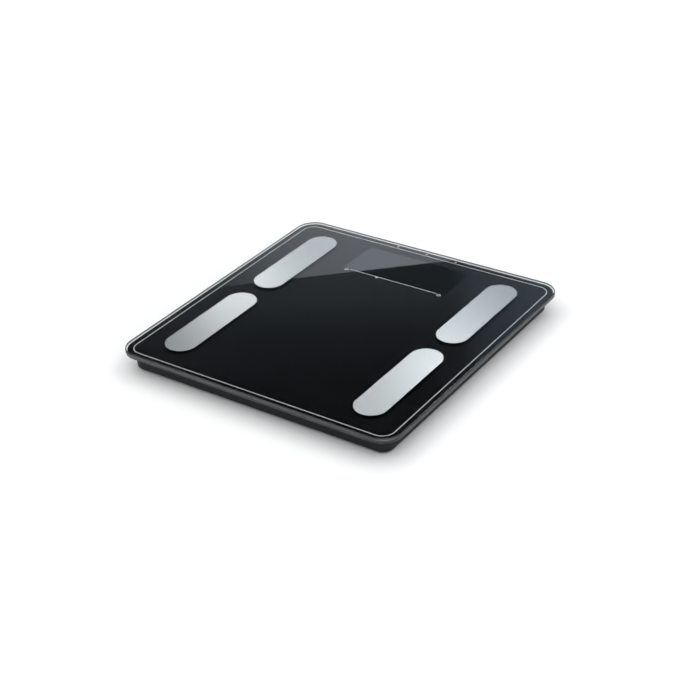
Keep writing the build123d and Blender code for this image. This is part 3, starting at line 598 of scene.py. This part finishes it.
class SCALE_OT_stage(bpy.types.Operator):
    """Makes the camera, the floor and the studio light"""
    bl_idname = "scale.stage"
    bl_label = "Stage"

    def execute(self, context):
        sizes = context.scene.scale_stage
        self.make_camera(context.scene, sizes)
        self.make_floor(context.scene, sizes)
        context.scene.world = self.make_studio()
        context.scene.view_settings.view_transform = "Standard"
        return {"FINISHED"}

    def make_camera(self, scene, sizes):
        """Camera whose axes are worked out from where it stands, where it aims and its roll."""
        stand = Vector(sizes.camera)
        sight = (Vector(sizes.aim) - stand).normalized()
        level = sight.cross(Vector((0.0, 0.0, 1.0))).normalized()
        upright = level.cross(sight)
        right = math.cos(sizes.roll) * level + math.sin(sizes.roll) * upright
        up = math.cos(sizes.roll) * upright - math.sin(sizes.roll) * level
        data = bpy.data.cameras.new("camera")
        data.lens = sizes.lens
        data.sensor_width = 36.0
        data.clip_start = 0.01
        camera = bpy.data.objects.new("camera", data)
        camera.matrix_world = Matrix.Translation(stand) @ Matrix((right, up, -sight)).transposed().to_4x4()
        scene.collection.objects.link(camera)
        scene.camera = camera

    def make_floor(self, scene, sizes):
        """Round floor at the height of the pads' undersides."""
        points, _ = circle_outline(sizes.floor_radius, sizes.floor_sides)
        vertices = np.concatenate([points, np.zeros((len(points), 1))], axis=1)
        mesh = bpy.data.meshes.new("floor")
        mesh.from_pydata(vertices.tolist(), [], [list(range(len(points)))])
        finish = Finish("floor_paint")
        finish.colours(finish.noise((3.0, 3.0, 3.0)), shade(sizes.floor, 0.998), shade(sizes.floor, 1.002))
        finish.constant(Roughness=0.9, Specular_IOR_Level=0.0)
        mesh.materials.append(finish.material)
        floor = bpy.data.objects.new("floor", mesh)
        scene.collection.objects.link(floor)

    def make_studio(self):
        """Light from all round: a dome, a pale wall, two soft boxes, a glow and a fill from the right."""
        world = bpy.data.worlds.new("studio")
        world.use_nodes = True
        tree = world.node_tree
        direction = tree.nodes.new("ShaderNodeTexCoord").outputs["Generated"]
        axes = tree.nodes.new("ShaderNodeSeparateXYZ")
        tree.links.new(direction, axes.inputs["Vector"])
        height = axes.outputs["Z"]
        across = self.dot(tree, direction, ACROSS)
        wall_side = self.dot(tree, direction, WALL_NORMAL)
        dome = self.ramp(tree, height, DOME_BY_HEIGHT)
        wall = self.ramp(tree, across, WALL_ACROSS)
        high_box = self.soft_box(tree, direction, HIGH_BOX_ACROSS, HIGH_BOX_BY_SIDE, HIGH_BOX_BY_HEIGHT)
        low_box = self.soft_box(tree, direction, LOW_BOX_ACROSS, LOW_BOX_BY_SIDE, LOW_BOX_BY_HEIGHT)
        fill = self.ramp(tree, self.dot(tree, direction, FILL_FROM), FILL_BY_LEAN)
        behind = self.vector(tree, "MULTIPLY", self.rise(tree, wall_side, WALL_EDGE),
                             self.remainder(tree, self.rise(tree, wall_side, WALL_END)))
        glow_height = self.ramp(tree, height, GLOW_BY_HEIGHT, 1.0)
        glow = self.vector(tree, "MULTIPLY", glow_height, self.ramp(tree, across, GLOW_ACROSS))
        in_front = self.remainder(tree, behind)
        shade_back = self.ramp(tree, self.dot(tree, direction, BACK), SHADE_BY_BACK, 1.0)
        shade_low = self.ramp(tree, height, SHADE_BY_HEIGHT, 1.0)
        unshaded = self.remainder(tree, self.vector(tree, "MULTIPLY", shade_low, shade_back))
        total = self.vector(tree, "MULTIPLY", self.vector(tree, "MULTIPLY", dome, unshaded), in_front)
        total = self.vector(tree, "ADD", total, self.vector(tree, "MULTIPLY", glow, in_front))
        total = self.vector(tree, "ADD", total, self.vector(tree, "MULTIPLY", wall, behind))
        total = self.vector(tree, "ADD", total, high_box)
        total = self.vector(tree, "ADD", total, low_box)
        total = self.vector(tree, "ADD", total, fill)
        light = tree.nodes["Background"]
        tree.links.new(total, light.inputs["Color"])
        light.inputs["Strength"].default_value = BRIGHTEST
        return world

    def soft_box(self, tree, direction, across, by_side, by_height):
        """A patch of light between two leaning sides, and between two heights."""
        side = self.added(tree, self.dot(tree, direction, across), SIDE_SHIFT)
        height = self.dot(tree, direction, (0.0, 0.0, 1.0))
        return self.vector(tree, "MULTIPLY", self.ramp(tree, side, by_side),
                           self.ramp(tree, height, by_height, 1.0))

    def vector(self, tree, operation, first, second):
        """Two colours put together value by value."""
        node = tree.nodes.new("ShaderNodeVectorMath")
        node.operation = operation
        for socket, source in zip(node.inputs, (first, second)):
            if source is not None:
                tree.links.new(source, socket)
        return node.outputs["Vector"]

    def remainder(self, tree, share):
        """One minus a share."""
        rest = self.vector(tree, "SUBTRACT", None, share)
        rest.node.inputs[0].default_value = (1.0, 1.0, 1.0)
        return rest

    def rise(self, tree, value, limits):
        """From nothing at the lower limit to one at the upper limit."""
        node = tree.nodes.new("ShaderNodeMapRange")
        node.inputs["From Min"].default_value, node.inputs["From Max"].default_value = limits
        tree.links.new(value, node.inputs["Value"])
        return node.outputs["Result"]

    def added(self, tree, value, amount):
        """A value plus a fixed amount."""
        node = tree.nodes.new("ShaderNodeMath")
        node.operation = "ADD"
        node.inputs[1].default_value = amount
        tree.links.new(value, node.inputs[0])
        return node.outputs["Value"]

    def dot(self, tree, vector, axis):
        """How far a direction leans along an axis."""
        node = tree.nodes.new("ShaderNodeVectorMath")
        node.operation = "DOT_PRODUCT"
        node.inputs[1].default_value = axis
        tree.links.new(vector, node.inputs[0])
        return node.outputs["Value"]

    def ramp(self, tree, value, stops, top=BRIGHTEST):
        """Colour between stops, as a share of the top value."""
        node = tree.nodes.new("ShaderNodeValToRGB")
        elements = node.color_ramp.elements
        for _ in range(len(stops) - 2):
            elements.new(0.5)
        for element, (position, tone) in zip(elements, stops):
            element.position = position
            element.color = (*[part / top for part in tone], 1.0)
        tree.links.new(value, node.inputs["Fac"])
        return node.outputs["Color"]


GROUPS = {"scale_glass": SCALE_PG_glass, "scale_electrodes": SCALE_PG_electrodes,
          "scale_finishes": SCALE_PG_finishes, "scale_stage": SCALE_PG_stage}
OPERATORS = (SCALE_OT_glass, SCALE_OT_prints, SCALE_OT_electrodes, SCALE_OT_tray, SCALE_OT_feet, SCALE_OT_keys,
             SCALE_OT_batteries, SCALE_OT_board, SCALE_OT_wiring, SCALE_OT_stage)


class SCALE_PT_panel(bpy.types.Panel):
    """Lists the sizes, colours and pieces of the scale"""
    bl_idname = "SCALE_PT_panel"
    bl_label = "Bathroom scale"
    bl_space_type = "VIEW_3D"
    bl_region_type = "UI"
    bl_category = "Scale"

    def draw(self, context):
        for name, group in GROUPS.items():
            box = self.layout.box()
            for key in group.__annotations__:
                box.prop(getattr(context.scene, name), key)
        for operator in OPERATORS:
            self.layout.operator(operator.bl_idname)


def register():
    """Registers the groups, the operators and the panel."""
    for name, group in GROUPS.items():
        bpy.utils.register_class(group)
        setattr(bpy.types.Scene, name, PointerProperty(type=group))
    for item in (*OPERATORS, SCALE_PT_panel):
        bpy.utils.register_class(item)


def unregister():
    """Takes them out again, in the opposite order."""
    for item in (SCALE_PT_panel, *reversed(OPERATORS)):
        bpy.utils.unregister_class(item)
    for name, group in reversed(GROUPS.items()):
        delattr(bpy.types.Scene, name)
        bpy.utils.unregister_class(group)


def main():
    """Makes every piece."""
    register()
    bpy.ops.scale.glass()
    bpy.ops.scale.prints()
    bpy.ops.scale.electrodes()
    bpy.ops.scale.tray()
    bpy.ops.scale.feet()
    bpy.ops.scale.keys()
    bpy.ops.scale.batteries()
    bpy.ops.scale.board()
    bpy.ops.scale.wiring()
    bpy.ops.scale.stage()


if __name__ == "__main__":
    main()
